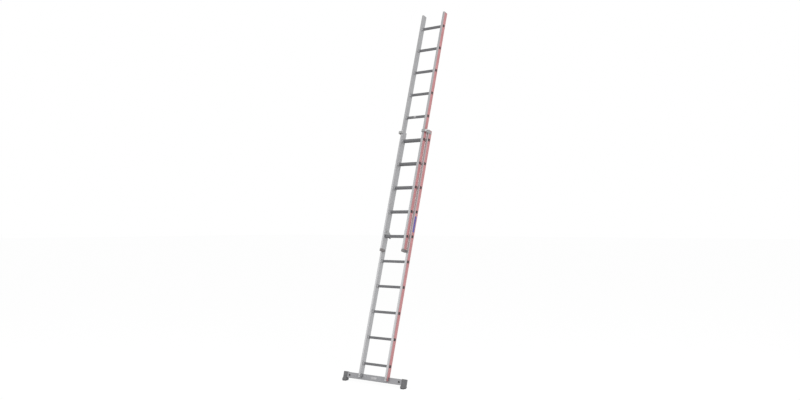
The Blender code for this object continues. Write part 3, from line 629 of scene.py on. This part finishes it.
def makeSoleTree():
    tree, add, source = startTree("ribbedSoles", soleSizes(), True)
    step = maths(add, "DIVIDE", source["Length"], source["Ribs"])
    ribWidth = maths(add, "MULTIPLY", step, source["Rib Share"])
    webHeight = maths(add, "MULTIPLY", source["Height"], source["Web"])
    rib = softBlock(add, ribWidth, source["Height"], source["Corner"], source["Depth"])
    reach = maths(add, "MULTIPLY", maths(add, "SUBTRACT", source["Length"], step), -0.5)
    values = {"Count": source["Ribs"], "Start Location": vectorOf(add, x=reach),
              "Offset": vectorOf(add, x=step)}
    line = add("GeometryNodeMeshLine", values, mode="OFFSET").outputs[0]
    ribs = add("GeometryNodeInstanceOnPoints", {"Points": line, "Instance": rib}).outputs[0]
    web = softBlock(add, source["Length"], webHeight, source["Corner"],
                    maths(add, "MULTIPLY", source["Depth"], 0.97))
    rise = maths(add, "MULTIPLY", maths(add, "SUBTRACT", source["Height"], webHeight), 0.49)
    web = placed(add, web, vectorOf(add, z=rise))
    sole = add("GeometryNodeJoinGeometry", {0: [ribs, web]}).outputs[0]
    values = {"Points": source["Points"], "Instance": sole}
    both = add("GeometryNodeInstanceOnPoints", values).outputs[0]
    endTree(tree, add, both, source["Material"])
    return tree


def boxMiddle(name):
    low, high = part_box(name)
    return (low + high) / 2


solePoints = [(boxMiddle(f"foot_sole_{word}"), (0, 0, 1)) for word in sides]
soles = grow("ribbedSoles", makeSoleTree(), soleSizes(), solePoints, 30)
soles.data.transform(toLadder)  # a sole is level, not leaned
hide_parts("foot_sole_left", "foot_sole_right")
settle(soles, bodies["lower"])
print("soles")


# blank stickers

stickerShape = {"thickness": 0.0004, "corner": 0.004,
                "stile": (0.180, 0.030), "bar": (0.070, 0.022), "rung": (0.032, 0.015)}


def roundedCorners(width, height, radius, steps=4):
    points = []
    for number, (alongX, alongY) in enumerate(((1, 1), (-1, 1), (-1, -1), (1, -1))):
        for step in range(steps + 1):
            angle = math.pi / 2 * (number + step / steps)
            points.append((alongX * (width / 2 - radius) + radius * math.cos(angle),
                           alongY * (height / 2 - radius) + radius * math.sin(angle)))
    return points


def makeSticker(name, size, centre, right, up, finish, body):
    width, height = size
    right, up = Vector(right), Vector(up)
    facing = right.cross(up)
    thickness = stickerShape["thickness"]
    bm = bmesh.new()
    loops = []
    for shrink, rise in ((0, 0), (0, thickness * 0.6), (thickness, thickness)):
        radius = min(stickerShape["corner"], height / 4)
        outline = roundedCorners(width - 2 * shrink, height - 2 * shrink, radius)
        loops.append([bm.verts.new(centre + right * x + up * y + facing * rise)
                      for x, y in outline])
    for low, high in zip(loops, loops[1:]):
        for index in range(len(low)):
            after = (index + 1) % len(low)
            bm.faces.new((low[index], low[after], high[after], high[index]))
    bm.faces.new(loops[0])
    bm.faces.new(loops[-1])
    mesh = bpy.data.meshes.new(name)
    bm.to_mesh(mesh)
    bm.free()
    tidyMesh(mesh, 30)
    mesh.transform(toWorld)
    mesh.materials.append(finishes[finish])
    sticker = bpy.data.objects.new(name, mesh)
    bpy.context.scene.collection.objects.link(sticker)
    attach(sticker, body)
    return sticker


lower, upper = sections["lower"], sections["upper"]
between = lower["first"] + Vector((0, 0, 5.5 * lower["pitch"]))
makeSticker("stileSticker", stickerShape["stile"], Vector((lower["half"], between.y, between.z)),
            (0, 0, -1), (0, 1, 0), "blueLabel", bodies["lower"])
barMiddle = middle("base_bar")
barFront = span("base_bar")[0].y
makeSticker("barSticker", stickerShape["bar"], Vector((0, barFront, barMiddle.z)), (1, 0, 0),
            (0, 0, 1), "paleLabel", bodies["lower"])
rungFace = span("upper_rung_06")[0].y
makeSticker("rungSticker", stickerShape["rung"],
            Vector((-0.015, rungFace, middle("upper_rung_06").z)), (1, 0, 0), (0, 0, 1),
            "paleLabel", bodies["upper"])
print("stickers")


# floor, light and camera

studio = {"floorSize": 200.0, "floorWhite": 0.80, "floorGlow": 0.88, "glowStrength": 1.05,
          "worldLight": 0.66, "mirrorLight": 0.80,
          "keyPlace": (8.0, -4.5, 6.0), "keySize": 4.0, "keyPower": 430,
          "fillPlace": (-5.0, -7.0, 4.0), "fillSize": 4.0, "fillPower": 90, "aim": (0, 0, 2.0)}


def makeFloor():
    half = studio["floorSize"] / 2
    bm = bmesh.new()
    bm.faces.new([bm.verts.new((x * half, y * half, 0))
                  for x, y in ((-1, -1), (1, -1), (1, 1), (-1, 1))])
    mesh = bpy.data.meshes.new("floor")
    bm.to_mesh(mesh)
    bm.free()
    material, add = startFinish("floorPaper")
    white = studio["floorWhite"]
    matt = add("ShaderNodeBsdfDiffuse", {"Color": (white, white, white, 1)}).outputs[0]
    glow = add("ShaderNodeEmission", {"Color": (1, 1, 1, 1), "Strength": studio["glowStrength"]}).outputs[0]
    path = add("ShaderNodeLightPath").outputs
    seen = maths(add, "MAXIMUM", path["Is Camera Ray"], path["Is Glossy Ray"])
    share = maths(add, "MULTIPLY", seen, studio["floorGlow"])
    mixed = add("ShaderNodeMixShader", {0: share, 1: matt, 2: glow}).outputs[0]
    add("ShaderNodeOutputMaterial", {"Surface": mixed})
    mesh.materials.append(material)
    floor = bpy.data.objects.new("floor", mesh)
    bpy.context.scene.collection.objects.link(floor)


def makeWorld():
    world = bpy.data.worlds.new("studio")
    bpy.context.scene.world = world
    world.use_nodes = True
    world.node_tree.nodes.clear()
    add = wiring(world.node_tree)
    path = add("ShaderNodeLightPath").outputs
    mirrored = blendNumbers(add, path["Is Glossy Ray"], studio["worldLight"], studio["mirrorLight"])
    strength = blendNumbers(add, path["Is Camera Ray"], mirrored, 1.0)
    sky = add("ShaderNodeBackground", {"Color": (1, 1, 1, 1), "Strength": strength}).outputs[0]
    add("ShaderNodeOutputWorld", {"Surface": sky})


def makeLamp(name, place, size, power):
    lamp = bpy.data.lights.new(name, "AREA")
    lamp.shape = "SQUARE"
    lamp.size = size
    lamp.energy = power
    holder = bpy.data.objects.new(name, lamp)
    holder.location = place
    holder.rotation_euler = (Vector(studio["aim"]) - Vector(place)).to_track_quat("-Z", "Y").to_euler()
    bpy.context.scene.collection.objects.link(holder)


cameraSetup = {"place": (5.53525, -7.37354, 1.67062), "turn": (91.73, 0, 37.29), "lens": 37.40}


def makeCamera():
    lens = bpy.data.cameras.new("camera")
    lens.sensor_width = 36
    lens.lens = cameraSetup["lens"]
    camera = bpy.data.objects.new("camera", lens)
    camera.location = cameraSetup["place"]
    camera.rotation_euler = [math.radians(angle) for angle in cameraSetup["turn"]]
    bpy.context.scene.collection.objects.link(camera)
    bpy.context.scene.camera = camera


makeFloor()
makeWorld()
makeLamp("key", studio["keyPlace"], studio["keySize"], studio["keyPower"])
makeLamp("fill", studio["fillPlace"], studio["fillSize"], studio["fillPower"])
makeCamera()
bpy.context.scene.view_settings.view_transform = "Standard"
print("studio")
